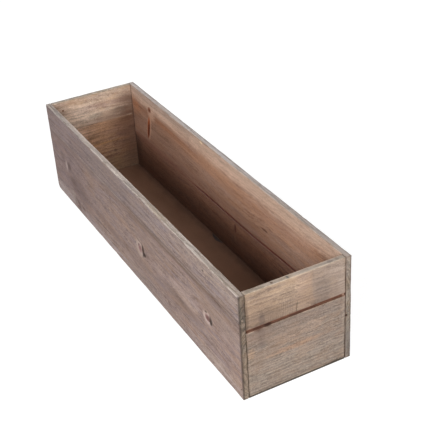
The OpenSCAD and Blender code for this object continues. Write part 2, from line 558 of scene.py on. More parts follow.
def lattice(board):
    """Places along, through and up a board, closer together near its edges and details."""
    side = board.axis == "y"
    s_details = fine_ends(board.start, board.stop)
    h_details = fine_ends(board.low, board.high)
    if side:
        s_details += fine_ends(-PIN_PLACE, PIN_PLACE, PIT_REACH, PIT_STEP)
        h_details += [(place, PIT_RADIUS, PIT_STEP) for place in board.pins]
    for spot in board.knots:
        s_details.append((spot.s, spot.along * 0.95, min(1.4, spot.along / 4.5)))
        h_details.append((spot.h, spot.across * 0.95, min(1.3, spot.across / 4.5)))
    for _, s0, h0, s1, h1, width, _, _ in board.slits:
        if abs(s1 - s0) < abs(h1 - h0):
            s_details.append(((s0 + s1) / 2, abs(s1 - s0) / 2 + width, width / 3))
        else:
            h_details.append(((h0 + h1) / 2, abs(h1 - h0) / 2 + width, width / 3))
    for _, pitch, _, s0, s1, _, _, upright, _ in board.saws:
        if upright:
            s_details.append(((s0 + s1) / 2, (s1 - s0) / 2, pitch / 3.5))
    if board.part == "lower":
        h_breaks = [board.bottom, board.seam, board.tongue_top]
    else:
        h_breaks = [board.seam, board.lip, board.groove_top, board.top]
    t_breaks = [0.0, TONGUE_START, TONGUE_END, BOARD_THICKNESS]
    s = stations([board.start, board.stop], SIDE_STEP_ALONG if side else END_STEP_ALONG, s_details)
    t = stations(t_breaks, STEP_THROUGH, fine_ends(0.0, BOARD_THICKNESS))
    h = stations(h_breaks, SIDE_STEP_UP if side else END_STEP_UP, h_details)
    return s, t, h


def cross_section(board, t, h):
    """Which cells between the places through and up a board are wood."""
    t_cell = ((t[1:] + t[:-1]) / 2)[:, None]
    h_cell = ((h[1:] + h[:-1]) / 2)[None, :]
    in_tongue = (t_cell > TONGUE_START) & (t_cell < TONGUE_END)
    if board.part == "lower":
        return (h_cell < board.seam) | in_tongue
    open_side = t_cell > TONGUE_END if board.open_inside else t_cell < TONGUE_START
    solid = ~(in_tongue & (h_cell < board.groove_top))
    return solid & ~(open_side & (h_cell < board.lip))


def edge_and_raw(board, s, t, h):
    """How near each place is to an edge, and how much of it is raw wood inside a joint."""
    gaps = np.sort(
        [np.minimum(t, BOARD_THICKNESS - t), np.abs(h - board.low), np.abs(board.high - h),
         s - board.start, board.stop - s], axis=0)
    edge = np.where(h <= board.high + 1e-6, np.exp(-np.clip(gaps[1], 0, None) / 0.9), 0.0)
    at_seam = np.abs(h - board.seam) < 3.0
    edge = np.where(at_seam, edge * min(1.0, board.seam_edge / 0.32), edge)
    if board.part == "lower":
        raw = smooth(h, board.seam - 0.25, board.seam + 0.05)
    else:
        hidden = smooth(t, 0.2, 0.6) * smooth(t, BOARD_THICKNESS - 0.2, BOARD_THICKNESS - 0.6)
        raw = hidden * smooth(h, board.tongue_top + 1.2, board.tongue_top + 0.7)
        on_open_side = t > TONGUE_END - 0.01 if board.open_inside else t < TONGUE_START + 0.01
        raw = np.maximum(raw, on_open_side * smooth(h, board.lip + 0.3, board.lip))
    return edge, raw * ((s > board.start + 0.1) & (s < board.stop - 0.1))


def build_board(board):
    """Makes the mesh of one board and puts its shading attributes on it."""
    s, t, h = lattice(board)
    s, t, h, quads = skin(cross_section(board, t, h), s, t, h)
    if board.mirrored():
        quads = quads[:, ::-1]
    edge, raw = edge_and_raw(board, s, t, h)
    moved, hollow = worn(board, s, t, h)
    places = np.stack(board.places(*moved), -1) / METRE
    return make_mesh(board.node + "_wood", places, quads, {"edge": edge, "raw": raw, "hollow": hollow})


def make_mesh(name, places, quads, values):
    """Makes an object from arrays of places, faces and one number for each place."""
    mesh = bpy.data.meshes.new(name)
    mesh.vertices.add(len(places))
    mesh.vertices.foreach_set("co", np.ascontiguousarray(places, np.float32).ravel())
    mesh.loops.add(quads.size)
    mesh.loops.foreach_set("vertex_index", np.ascontiguousarray(quads, np.int32).ravel())
    mesh.polygons.add(len(quads))
    mesh.polygons.foreach_set("loop_start", np.arange(0, quads.size, 4, dtype=np.int32))
    mesh.update(calc_edges=True)
    mesh.validate()
    for key, numbers in values.items():
        attribute = mesh.attributes.new(key, "FLOAT", "POINT")
        attribute.data.foreach_set("value", np.ascontiguousarray(numbers, np.float32))
    mesh.shade_smooth()
    mesh.set_sharp_from_angle(angle=np.radians(SHARP_ANGLE))
    piece = bpy.data.objects.new(name, mesh)
    bpy.context.scene.collection.objects.link(piece)
    return piece


# Materials


class Surface:
    """Builds one material out of fields."""

    def __init__(self, name):
        self.material = bpy.data.materials.new(name)
        self.material.use_nodes = True
        self.tree = self.material.node_tree
        self.shader = self.tree.nodes["Principled BSDF"]

    def field(self, kind, output, inputs=(), **settings):
        return Field(self.tree, add_node(self.tree, kind, inputs, **settings).outputs[output])

    def split(self, socket):
        node = add_node(self.tree, "SeparateXYZ", {0: socket})
        return [Field(self.tree, output) for output in node.outputs]

    def place(self):
        """Place in the part's frame, in millimetres."""
        return [axis * METRE for axis in self.split(self.field("TexCoord", "Object"))]

    def facing(self):
        return self.split(self.field("NewGeometry", "True Normal"))

    def attribute(self, name):
        return self.field("Attribute", "Fac", attribute_name=name)

    def vector(self, x, y, z):
        return add_node(self.tree, "CombineXYZ", enumerate((x, y, z))).outputs[0]

    def distance(self, spot, place):
        """Distance of a place, a flat vector, from the middle of a stain, with 1 at the rim."""
        values = {"Location": (spot.s, spot.h, 0.0), "Rotation": (0.0, 0.0, spot.turn()),
                  "Scale": (spot.along, spot.across, 1.0), "Vector": place}
        local = add_node(self.tree, "Mapping", values, vector_type="TEXTURE").outputs[0]
        return self.field("VectorMath", "Value", {0: local}, operation="LENGTH")

    def noise(self, x, y, z, detail=2.0, roughness=0.5, distortion=0.0):
        """Noise from 0 to 1 with features about one unit wide."""
        values = {"Vector": self.vector(x, y, z), "Scale": 1.0, "Detail": detail,
                  "Roughness": roughness, "Distortion": distortion}
        return self.field("TexNoise", 0, values)

    def mix(self, share, first, second):
        """Goes from the first colour to the second as share goes from 0 to 1."""
        values = {0: share, 6: first, 7: second}
        return add_node(self.tree, "Mix", values, data_type="RGBA", clamp_factor=True).outputs[2]

    def scale(self, colour, factor):
        values = {0: colour, "Scale": factor}
        return add_node(self.tree, "VectorMath", values, operation="SCALE").outputs[0]

    def finish(self, colour, roughness, height, strength, distance):
        join(self.tree, self.shader.inputs["Base Color"], colour)
        join(self.tree, self.shader.inputs["Roughness"], roughness)
        self.shader.inputs["Specular IOR Level"].default_value = SHEEN
        values = {"Strength": strength, "Distance": distance, "Height": height}
        bump = add_node(self.tree, "Bump", values)
        self.tree.links.new(bump.outputs[0], self.shader.inputs["Normal"])
        return self.material


# Where the side boards are covered by the end boards, and the dark colour they are painted there: painted
# shade in the narrow joint
COVERED_FROM = HALF_LENGTH - BOARD_THICKNESS
COVERED_SHADE = "4a382e"


def board_colours(w, palette, inward, upward, endward):
    """The light, dark, wash and warm colour of a board at each place, by the face it is on."""
    for number in range(4):
        layer = w.mix(inward, palette["out"][number], palette["in"][number])
        layer = w.mix(upward, layer, palette["up"][number])
        yield w.mix(endward, layer, palette["end"][number])


def knotted(w, colour, board, s, h, face_share, ragged, grit):
    """A colour with the knots of a board on it: halo, heart with its circles, and rim."""
    for spot in board.knots:
        reach = spot.distance(s, h) + (ragged - 0.5) * 0.5
        here = face_share[spot.face]
        if spot.halo:
            colour = w.mix(smooth(reach, 2.0, 1.0) * 0.3 * here, colour, spot.halo)
        circles = sine(reach * 13.0 + ragged * 5.0) * 0.14 + (grit - 0.5) * 0.5
        heart = w.mix(smooth(reach + circles, 0.3, 0.85), spot.core, spot.ring)
        colour = w.mix(smooth(reach, 1.08, 0.9) * here, colour, heart)
        gap = (reach - 1.12) / 0.36 if spot.lean else (reach - 1.0) / 0.17
        rim = bell(gap * gap) * spot.rim_share * here
        if spot.lean:
            beside = smooth((s - spot.s) * (spot.lean / spot.along), 0.5, 1.0)
            colour = w.mix(rim * (1.0 - beside) * 0.6, colour, spot.halo)
            rim = rim * beside
        colour = w.mix(rim, colour, spot.rim)
    return colour


def wood_material(board):
    """The wood of one board: rings, fibres, wash, stain marks with patches of painted light and shade
    among them, knots, end grain, worn edges with a painted highlight on the outer arrises, and painted
    shade in saw-mark hollows and, on side boards, behind the end boards.
    """
    w = Surface(board.node + "_finish")
    x, y, z = w.place()
    nx, ny, nz = w.facing()
    side = board.axis == "y"
    s, across, out, end = (x, y, ny, nx) if side else (y, x, nx, ny)
    t, h = board.face_place - across * board.side, z
    outward = smooth(out * board.side, 0.35, 0.75)
    inward = smooth(out * board.side, -0.35, -0.75)
    upward = smooth(nz, 0.45, 0.8)
    endward = smooth(end.math("ABSOLUTE"), 0.45, 0.8)
    face_share = {"out": outward, "in": inward, "up": upward, "end": endward}
    shift = board.seed * 7.31
    stretch = 1.0 if side else 2.2

    line = board.grain.flow(s, h, [(spot, face_share[spot.face]) for spot in board.knots])

    def fibres(along, through, height, up, detail, roughness=0.5, start=shift):
        """Noise drawn out along the grain, with so many features in a millimetre each way."""
        return w.noise(s * (along * stretch) + start, t * through, height * up, detail, roughness)

    warp = fibres(0.02, 0.2, line, 0.12, 3.0)
    strands = fibres(0.014, 0.3, line, 0.3, 5.0, 0.7)
    flecks = fibres(0.16, 0.8, line, 0.8, 3.0, 0.65)
    hairs = fibres(0.05, 1.9, line, 1.9, 2.0, 0.6)
    mottle = fibres(0.045, 0.1, line, 0.12, 4.0, 0.62)
    broad = fibres(0.008, 0.03, h, 0.05, 3.0)
    washing = fibres(0.02, 0.2, line, 0.2, 5.0, 0.65, -shift)
    warmth = fibres(0.016, 0.07, h, 0.09, 4.0, 0.6, shift * 2)
    grit = w.noise(s * 0.55 + shift, t * 0.8, h * 0.8, 4.0, 0.72)

    rings = board.grain.rings(t, line) + (warp - 0.5) * 1.4
    late = late_wood(rings)
    ring_part, strand_part, fleck_part, broad_part, mottle_part, grit_part = board.contrast
    dark_share = 0.5 + (late - 0.4) * ring_part + (strands - 0.5) * (strand_part * 3.0)
    dark_share = dark_share + (flecks - 0.5) * (fleck_part * 1.6) + (broad - 0.5) * (broad_part * 3.0)
    dark_share = dark_share + (mottle - 0.5) * (mottle_part * 2.0) + (grit - 0.5) * grit_part
    dark_share = dark_share + (hairs - 0.5) * (grit_part * 0.6) + (late - 0.4) * (endward + upward) * 0.5

    palette = board.palette
    light, dark, wash, warm = board_colours(w, palette, inward, upward, endward)
    wash_share, warm_share = (
        sum(face_share[face] * palette[face][number] for face in face_share) for number in (4, 5)
    )
    colour = w.mix(dark_share, light, dark)
    warm_here = smooth(warmth + (flecks - 0.5) * 0.35, 0.44, 0.62)
    colour = w.mix(warm_share * warm_here, colour, warm)
    wash_here = smooth(washing - late * 0.05 + (flecks - 0.5) * 0.3, 0.42, 0.62)
    colour = w.mix(wash_share * wash_here, colour, wash)

    streaky = smooth(flecks * 0.6 + strands * 0.6, 0.42, 0.68)

    on_wall = w.vector(s, h, 0.0)
    flat = {"up": w.vector(s, t, 0.0), "end": w.vector(t, h, 0.0), "out": on_wall, "in": on_wall}
    raw = w.attribute("raw")
    bare = {face: share.math("MAXIMUM", raw) for face, share in face_share.items()}
    # Fields that many marks share are made once, or the renderer runs out of room for their values
    uneven = mottle + strands - 1.0
    roughs = dict.fromkeys(one.rough for one in board.stains_and_shading)
    frayed = {rough: uneven * (rough * 2.4) for rough in roughs}
    streaks = dict.fromkeys(one.streak for one in board.stains_and_shading)
    calm = {streak: 1.0 - streaky * streak for streak in streaks}
    # Marks, stain and painted shade alike, keep the light and dark of the grain: they go on a colour that
    # has been freed from it
    shade = dark_share * -0.46 + 1.24
    unshade = shade.math("POWER", -1.0)

    def stained_and_shaded(colour, on_top):
        colour = w.scale(colour, unshade)
        for spot in board.stains_and_shading:
            if spot.on_top == on_top:
                reach = w.distance(spot, flat[spot.face]) + frayed[spot.rough]
                share = smooth(reach, 1 + spot.soft, 1 - spot.soft) * spot.amount
                if spot.streak:
                    share = share * calm[spot.streak]
                shown = (bare if on_top else face_share)[spot.face]
                colour = w.mix(share * shown, colour, spot.colour)
        return w.scale(colour, shade)

    colour = stained_and_shaded(colour, False)
    ragged = w.noise(s * 0.35 + shift, t * 0.35, h * 0.35, 3.0)
    colour = knotted(w, colour, board, s, h, face_share, ragged, grit)

    pores = smooth(flecks + (strands - 0.5) * 0.5, 0.37, 0.28)
    colour = w.mix(pores * 0.45, colour, palette["pore_and_groove_shade"])
    # The hollows of the saw marks take the colour of the pores: painted shade in the grooves.
    colour = w.mix(w.attribute("hollow") * 0.5, colour, palette["pore_and_groove_shade"])
    edge = w.attribute("edge")
    rubbed = smooth(washing + (grit - 0.5) * 0.8, 0.4, 0.56)
    rubbed = rubbed * smooth(s.math("ABSOLUTE"), board.stop - 1.5, board.stop - 4.0)
    # Rubbed edges show paler wood; the outer arrises get more of it, a painted highlight on top of the
    # wear.
    outer_arris_highlight = smooth(t, 1.4, 0.5)
    colour = w.mix(edge * rubbed * (outer_arris_highlight * 0.3 + 0.55), colour, palette["edge"])
    colour = w.mix(edge * (1.0 - rubbed) * (0.5 if side else 0.32), colour, palette["pore_and_groove_shade"])
    joint = w.mix(smooth(strands + mottle * 0.5, 0.55, 0.95), *board.raw)
    colour = w.mix(raw * 0.94, colour, joint)
    if side:
        # Behind the end boards the side boards are painted dark, on the inner face and in the joint:
        # painted shade that shows through the narrow gap.
        covered = smooth(s.math("ABSOLUTE"), COVERED_FROM - 0.6, COVERED_FROM + 0.6)
        colour = w.mix(covered * inward * 0.9, colour, COVERED_SHADE)
        colour = w.mix(covered * raw * 0.8, colour, COVERED_SHADE)
    colour = stained_and_shaded(colour, True)

    roughness = 0.76 + late * -0.06 + (flecks - 0.5) * 0.2
    height = strands * 0.6 + flecks * 0.5 + late * 0.3 + grit * 0.25 + hairs * 0.2 - pores * 0.3
    return w.finish(colour, roughness, height, 0.6, 0.0004)


# The boards


def faces(out, inner, up, end, pore_and_groove_shade, edge):
    """Colours of a board's faces, of its pores and of its rubbed edges. The colour of the pores also
    darkens the saw-mark hollows as painted shade, and the edge colour also gives a painted highlight on
    the outer arrises. Each face has a light, a dark, a wash and a warm colour, and how much there is of
    the last two."""
    return {"out": out, "in": inner, "up": up, "end": end, "pore_and_groove_shade": pore_and_groove_shade, "edge": edge}


LEFT_OUT_LOWER = ("9f8a80", "624e48", "8a7c80", "9e806a", 0.45, 0.45)
LEFT_OUT_UPPER = ("9c8980", "63524e", "837a80", "987e6a", 0.5, 0.35)
# Inner faces of the side boards: the upper board is paler and the lower one darker, partly from the wood
# and partly painted light near the top of the box and painted shade lower down, towards the floor.
SIDE_IN_LOWER_SHADED = ("ae826a", "6c4c3d", "826c64", "9a6a4e", 0.3, 0.3)
SIDE_IN_UPPER_LIT = ("c09a82", "84614f", "aa9289", "b68969", 0.35, 0.35)
LEFT_UP = ("d0c2b8", "867971", "b2a9a6", "bea48a", 0.5, 0.2)
RIGHT_UP = ("ccc0bb", "8a7f7b", "a8a4aa", "b6a28e", 0.5, 0.25)
LEFT_END = ("8e7c6c", "483e35", "786f65", "8a725a", 0.45, 0.35)
RIGHT_END = ("9c8d7e", "685c51", "827e79", "947e68", 0.45, 0.3)
FRONT_UPPER_OUT = ("ae9680", "6e5b50", "958379", "bb9b7b", 0.4, 0.35)
FRONT_LOWER_OUT = ("a79587", "675950", "8c837b", "a9886e", 0.4, 0.3)
# Inner faces of the end boards, paler above and darker below in the same way: partly the wood, partly
# painted light and shade.
END_IN_UPPER_LIT = ("e0c8b1", "9e8371", "b29a93", "deb892", 0.35, 0.35)
END_IN_LOWER_SHADED = ("c49c7e", "765745", "866c64", "b8885c", 0.3, 0.35)
END_UP = ("c5b5a6", "7c7066", "a0948d", "c3a88b", 0.45, 0.35)
BACK_UP = ("e6d6c5", "9c8e80", "c2b4ac", "d8bea0", 0.45, 0.3)
END_END = ("968470", "5c5044", "82786c", "8c725a", 0.4, 0.3)
PALE_EDGE = "d4c8bc"
WARM_EDGE = "ceb8a0"
RIGHT_RAW = ("8c4c38", "603226")
FRONT_RAW = ("7e523e", "543427")
BACK_CONTRAST = (0.35, 0.8, 1.2, 0.2, 0.7, 1.8)

# A row has the middle of a stain or patch of painted light or shade, s and h, its half sizes along and
# across the grain, its colour and how much that covers. After them come soft, streak, rough and slant,
# where one isn't as usual.

LEFT_LOWER_STAINS = on("out", [
    (60, 9, 260, 8, "9c8d87", 0.4),
    (140, 73, 80, 5, "98837a", 0.35, 0.7),
    (-170, 7, 170, 6, "9e8f8d", 0.7),
    (-90, 22, 90, 3, "92827c", 0.4, 0.7),
    (-90, 50, 80, 7, "74615b", 0.35, 0.7),
    (-265, 66, 110, 80, "6e5c5f", 0.6, 0.6),
    (-198, 44, 42, 15, "624f4b", 0.75, 0.5, 0.45, 0.4, -0.1),
    (-258, 78, 9, 6, "584a49", 0.75),
    (-221, 47.5, 12, 6, "52423d", 0.6, 0.6),
    (-206, 39, 8, 1.6, "4e3c36", 0.6),
    (-232, 70, 9, 7, "54413c", 0.85, 0.5, 0.2, 0.4, 0.4),
    (-228, 20, 8, 12, "968a7e", 0.6, 0.5, 0.45, 0.4, 0.5),
    (-215, 12, 13, 8, "543e35", 0.95, 0.6, 0.0, 0.4, -0.2),
    (-190, 14, 6, 3, "5c483f", 0.7, 0.6, 0.0),
    (-213, 10, 3, 2, "80564c", 0.7, 0.5, 0.0),
    (62, 67, 10, 2.2, "ac9890", 0.5, 0.6),
    (52, 60, 7, 2.6, "645048", 0.75, 0.5, 0.45, 0.4, 0.15),
    (17, 65, 3, 1.6, "5c5452", 0.7, 0.5, 0.0, 0.4, 0.5),
    (56, 66, 16, 9, "745f56", 0.6),
    (60, 88, 90, 12, "7a6860", 0.5, 0.7),
    (250, 89, 70, 12, "867469", 0.6, 0.7),
    (-20, 36, 60, 10, "7a6862", 0.4, 0.7),
    (100, 36, 105, 9, "74625a", 0.5, 0.7),
    (50, 14, 60, 9, "7e6e68", 0.6, 0.7),
    (255, 13, 50, 9, "b09f95", 0.5, 0.7),
    (170, 62, 40, 9, "a8948a", 0.5, 0.7),
    (150, 47, 48, 6, "645148", 0.7, 0.5, 0.45, 0.4, -0.03),
    (-60, 104, 240, 5, "705d56", 0.6, 0.7),
    (145, 101, 50, 4, "968076", 0.4, 0.7),
    (250, 103, 60, 6, "746158", 0.5, 0.7),
    (-265, 9, 50, 9, "ac9e9a", 0.7, 0.6),
    (-255, 22, 50, 6, "968683", 0.5, 0.7),
    (304.6, 55, 1.6, 80, "483d37", 0.85, 0.4),
    (150, 110, 190, 4.5, "5a463c", 0.9, 0.6, 0.2),
    (-170, 109.5, 170, 4.5, "645250", 0.65, 0.7),
    (-100, 38, 45, 6, "68524a", 0.65, 0.5, 0.45, 0.4, -0.05),
]) + on("end", [
    (5, 28, 5, 32, "9c8a79", 0.55, 0.7),
    (4, 30, 20, 8, "6c5d51", 0.4, 0.7),
    (4, 10, 20, 8, "a89685", 0.3, 0.7),
    (0, 55, 2.2, 200, "483d36", 0.85, 0.4, 0.2, 0.2),
]) + on("out", [
    (40, 63.5, 3.6, 7.5, "3c2920", 1.0, 0.4, 0.0, 0.2),
    (30, 73, 8, 1.5, "625047", 0.8, 0.5, 0.0, 0.4, -0.2),
    (26.5, 66, 2.4, 2, "5c4a44", 0.75, 0.5, 0.0),
    (42.5, 58, 5.4, 3.4, "32221b", 1.0, 0.4, 0.0, 0.2, 0.2),
    (232.5, 67.5, 3.6, 4.2, "32251e", 1.0, 0.4, 0.0, 0.2),
    (230, 72, 2.2, 3.6, "503c35", 0.5, 0.5, 0.0, 0.2),
    (221, 76, 3.4, 1.6, "54463a", 0.9, 0.5, 0.0, 0.4, 0.4),
], on_top=True)
LEFT_UPPER_STAINS_AND_HIGHLIGHT = on("out", [
    (150, 110.5, 190, 3.6, "5e4b43", 0.85, 0.5, 0.2),
    (-170, 110.5, 170, 3.6, "665553", 0.6, 0.6),
    (-250, 130, 110, 60, "766466", 0.55),
    (-60, 131, 110, 14, "6c5d5b", 0.7, 0.7),
    (304.6, 130, 1.4, 30, "504740", 0.8, 0.4),
    (55, 126, 50, 6, "7e706c", 0.45, 0.7),
    (250, 140, 90, 8, "a69484", 0.4),
    (221, 135, 2.2, 1.4, "3c302c", 0.8, 0.5, 0.0),
]) + on("up", [
    (-60, 7.4, 280, 2, "dccabf", 0.9),
    (0, 5.2, 100, 1.2, "8c8079", 0.5),
    (-150, 0.8, 60, 1.7, "d6c6be", 0.5),
    (155, 3.2, 45, 1.8, "cec1b4", 0.6),
    (262, 0.8, 52, 1.8, "94867a", 0.6),
    (-150, 3.5, 70, 4, "a49891", 0.5),
    # Pale line along the outer arris: pale wear with a painted highlight on it.
    (20, 0.6, 120, 1.8, "e6d7cc", 0.85),
    (52, 5.3, 50, 2.4, "887a71", 0.4),
    (92, 4, 26, 9, "aa9372", 0.45),
    (278, 4, 55, 9, "98897d", 0.65),
    (280, 7.6, 50, 1.8, "766358", 0.65),
]) + on("end", [
    (4, 114, 20, 22, "4c4841", 0.85),
    (7.5, 134, 3.4, 9, "5c483a", 0.8),
    (0, 130, 2.2, 200, "463e36", 0.8, 0.4, 0.2, 0.2),
])
RIGHT_LOWER_STAINS_AND_SHADE = on("in", [
    (0, 62, 700, 8, "96705d", 0.5, 0.8, 0.1, 0.15),
    # Darker towards the floor: painted shade low inside the box.
    (0, 0, 700, 34, "543c32", 0.75, 0.75, 0.1, 0.15),
    (-230, 25, 150, 30, "60463a", 0.5, 0.8, 0.1, 0.15),
    (36, 33, 2.5, 8, "967662", 0.5),
    (-294, 46, 16, 30, "423228", 0.65, 0.7),
    (160, 42, 8, 2.5, "402c24", 0.7),
]) + on("end", [
    (0, 55, 2.2, 200, "62574e", 0.7, 0.4, 0.2, 0.2),
    (4, 20, 20, 20, "706762", 0.7),
    (4, 46, 20, 10, "8a8077", 0.5),
    (4, 30, 20, 8, "766d67", 0.5),
]) + on("in", [
    (-210, 62, 105, 5, "8e6757", 0.95, 0.5, 0.0, 0.1),
], on_top=True)
RIGHT_UPPER_STAINS = on("in", [
    (-250, 103, 180, 22, "765848", 0.65, 0.7, 0.1, 0.2),
    (-220, 88, 190, 10, "9e7c6a", 0.5, 0.7, 0.1, 0.2),
    (-50, 112, 60, 12, "b68e74", 0.4, 0.7, 0.2, 0.2),
    (-20, 148, 700, 20, "c8ae9b", 0.75, 0.5, 0.1, 0.2),
    (150, 136, 90, 14, "b49986", 0.4, 0.7, 0.1, 0.2),
    (20, 131, 170, 5.5, "d2b19c", 0.6, 0.6, 0.2, 0.2),
    (-210, 146, 120, 9, "a28d82", 0.8, 0.6, 0.45, 0.2),
    (-228, 119, 90, 6, "845c48", 0.6, 0.7, 0.2, 0.3),
    (-284, 116, 14, 13, "a46e4a", 0.65, 0.7),
    (-150, 117, 85, 4.5, "926246", 0.5, 0.7, 0.2, 0.4, -0.02),
    (20, 109, 250, 7, "a0755a", 0.5, 0.7, 0.2),
    (0, 70, 300, 10, "8c675a", 0.5),
    (-145, 78, 160, 7, "826052", 0.35, 0.8),
    (120, 87.5, 8, 1.6, "604032", 0.85, 0.4, 0.0),
    (-224, 122, 13, 9, "c6a48e", 0.6, 0.5, 0.1, 0.3),
    (-230, 127.5, 5.5, 4.2, "74402a", 0.9, 0.5, 0.0, 0.5, 0.5),
    (-229.5, 127.5, 2, 1.6, "42261c", 0.8, 0.5, 0.0, 0.3),
    (-237, 94, 7, 24, "be967e", 0.7, 0.3, 0.0, 0.15, 3.5),
    (-239, 94, 4.4, 21, "924c2c", 1.0, 0.25, 0.0, 0.12, 3.5),
    (-239.5, 90, 2.4, 16, "4a261a", 0.9, 0.5, 0.0, 0.12, 3.5),
    (-52, 145, 4, 2.5, "e4ccaa", 0.8, 0.4, 0.0),
]) + on("up", [
    (-150, 4, 190, 9, "d6c9c2", 0.5),
    (-190, 5, 60, 9, "ac9c93", 0.5),
    (245, 4, 90, 9, "988a7f", 0.75),
    (190, 7.4, 170, 1.8, "a28975", 0.65),
    (-50, 7.2, 50, 1.8, "e0cbbc", 0.7),
    (-150, 7.4, 50, 1.5, "968070", 0.4),
    (150, 5, 45, 1.4, "cabaae", 0.5),
    (60, 0.2, 360, 1.6, "5c5450", 0.85, 0.5, 0.2),
]) + on("end", [
    (4, 138, 20, 12, "a4988f", 0.45),
    (4, 92, 20, 9, "aa9d8f", 0.45),
    (0, 130, 2.2, 200, "62574e", 0.7, 0.4, 0.2, 0.2),
]) + on("in", [
    (-210, 64, 105, 5, "8e6757", 0.95, 0.5, 0.0, 0.1),
], on_top=True)
FRONT_LOWER_STAINS_AND_SHADING = on("out", [
    (0, 88, 90, 9, "827066", 0.5),
    (-44, 50, 26, 30, "8c7a6c", 0.35, 0.8),
    (-3, 51, 38, 3.4, "b28869", 0.65, 0.5, 0.5),
    (-14, 67, 20, 8, "ac8c75", 0.4, 0.5, 0.6),
    (22, 70, 14, 9, "b89e8b", 0.45, 0.5, 0.6),
    (-47, 73, 4, 6, "6a6261", 0.6),
    (-62, 62, 5, 8, "b4906e", 0.5, 0.5, 0.6),
    (-66, 30, 3, 30, "b09e8e", 0.4, 0.7),
    (-66, 86, 3, 7, "ac927f", 0.4, 0.7),
    (66, 72, 3, 30, "ac9b8e", 0.5, 0.7),
    (45, 45, 30, 12, "8e7d72", 0.4),
    (-46, 50, 20, 8, "8a7768", 0.35, 0.7),
    (0, 20, 80, 22, "aea193", 0.3, 0.7),
    (-55, 24, 14, 6, "a09284", 0.6, 0.7),
    (-47, 84, 4.5, 14, "62544e", 0.75),
    (-50, 87, 20, 8, "766359", 0.6, 0.7),
    (-20, 76, 30, 6, "8c786a", 0.55, 0.7),
    (-46, 78, 14, 12, "847063", 0.3, 0.7),
    (0, 3, 80, 2.2, "685c53", 0.5),
    (-66.6, 55, 1.3, 70, "6c5848", 0.35, 0.6),
    (66.4, 30, 1.6, 40, "60554c", 0.4, 0.6),
]) + on("out", [
    # In the seam groove: the pale patch at its right end is painted light over the groove's shade, and
    # the two dark patches are painted shade deep in the groove.
    (66, 96.5, 2.6, 3, "b29482", 0.8, 0.5, 0.0, 0.3),
    (-38, 96.5, 6, 3, "34201a", 0.95, 0.5, 0.0, 0.3),
    (-51, 95.5, 6, 4, "54362a", 0.7, 0.5, 0.0, 0.3),
], on_top=True)
FRONT_UPPER_STAINS = on("out", [
    (56, 130, 35, 60, "9a897e", 0.75, 0.05, 0.3, 0.02),
    (34, 116, 11, 16, "766860", 0.7),
    (22, 122, 3, 22, "887668", 0.4, 0.7),
    (62, 112, 5, 28, "ac9a8d", 0.5, 0.7),
    (55, 139, 10, 8, "b8a698", 0.3, 0.7),
    (-50, 104, 14, 7, "705e50", 0.4, 0.7),
    (-64, 125, 4, 20, "b29882", 0.35, 0.7),
    (10, 140, 12, 18, "bea08e", 0.5),
    (-47, 103, 26, 19, "766254", 0.75, 0.6),
    (-46, 104, 3.6, 11, "544843", 0.9),
    (34, 103, 12, 7, "7c6a5f", 0.6, 0.6),
    (-12, 134, 20, 14, "c4aa92", 0.5, 0.7),
    (-10, 103, 60, 9, "847063", 0.4),
    (-0.4, 105, 0.9, 6, "624c3c", 0.6, 0.5, 0.0, 0.1),
    (52, 103, 11, 8, "827065", 0.6, 0.7),
    (10, 112, 14, 14, "967c6b", 0.5, 0.7),
    (-44, 126, 20, 9, "a68a72", 0.4, 0.7),
    (-66.4, 112, 3.4, 24, "524136", 0.75, 0.6, 0.2, 0.35),
    (66.4, 122, 1.8, 34, "6c5b4e", 0.15, 0.6),
]) + on("up", [
    (35, 5.5, 45, 3.6, "96887e", 0.5),
    (50, 2.8, 28, 1.4, "92867c", 0.6),
    (45, 4.4, 38, 2.6, "8c8076", 0.45),
    (-64, 2, 8, 3, "8a7e72", 0.5),
    (24, 7.6, 40, 1.4, "d0b8a4", 0.65),
    (-52, 7.4, 24, 1.8, "5c4c40", 0.55),
    (65, 7.4, 9, 1.8, "88786c", 0.5),
    (20, 0.4, 60, 1.6, "e2d0bc", 0.35),
    (62, 3, 12, 4, "94887b", 0.6),
    (-47, 2.4, 8, 2.4, "5c5448", 0.9, 0.5, 0.45, 0.8),
    (-59, 5, 5, 4, "645a4f", 0.85, 0.5, 0.45, 0.8),
    (-30, 4, 1.4, 1.8, "584030", 0.85, 0.5, 0.0),
    (-9.5, 4, 2, 3.2, "64625f", 0.9, 0.5, 0.0, 0.6),
    (16, 6.8, 7, 1.8, "7c6659", 0.5, 0.5, 0.45, 0.8),
    (47, 4, 3.2, 2.6, "6e615c", 0.85, 0.5, 0.45, 0.6),
    (57, 5, 2, 4, "78695e", 0.75, 0.5, 0.45, 0.6),
])
BACK_LOWER_STAINS_AND_SHADE = on("in", [
    (13, 77, 20, 3.2, "765854", 0.8),
    (41, 68, 14, 3, "6a504c", 0.8),
    (28, 40, 3, 2.5, "4a3c30", 0.6, 0.5, 0.0),
    (-34, 90, 26, 19, "fad9c1", 0.9, 0.7),
    (2, 76, 24, 26, "cca180", 0.55, 0.7),
    (6, 92, 40, 3.5, "b08a6c", 0.6, 0.5, 0.2),
    (-4, 60, 28, 24, "c49e80", 0.7, 0.7),
    (10, 58.5, 44, 1.8, "c49668", 0.7, 0.5, 0.2),
    (0, 8, 120, 26, "7c6e56", 0.6),
    # These three dark patches are painted shade in the corner by the right wall, deepest towards the
    # seam.
    (76, 70, 40, 90, "624638", 0.95, 0.6, 0.1, 0.25),
    (50, 88, 30, 8, "70503e", 0.5, 0.7),
    (56, 93, 12, 5, "583a2a", 0.7, 0.7),
])
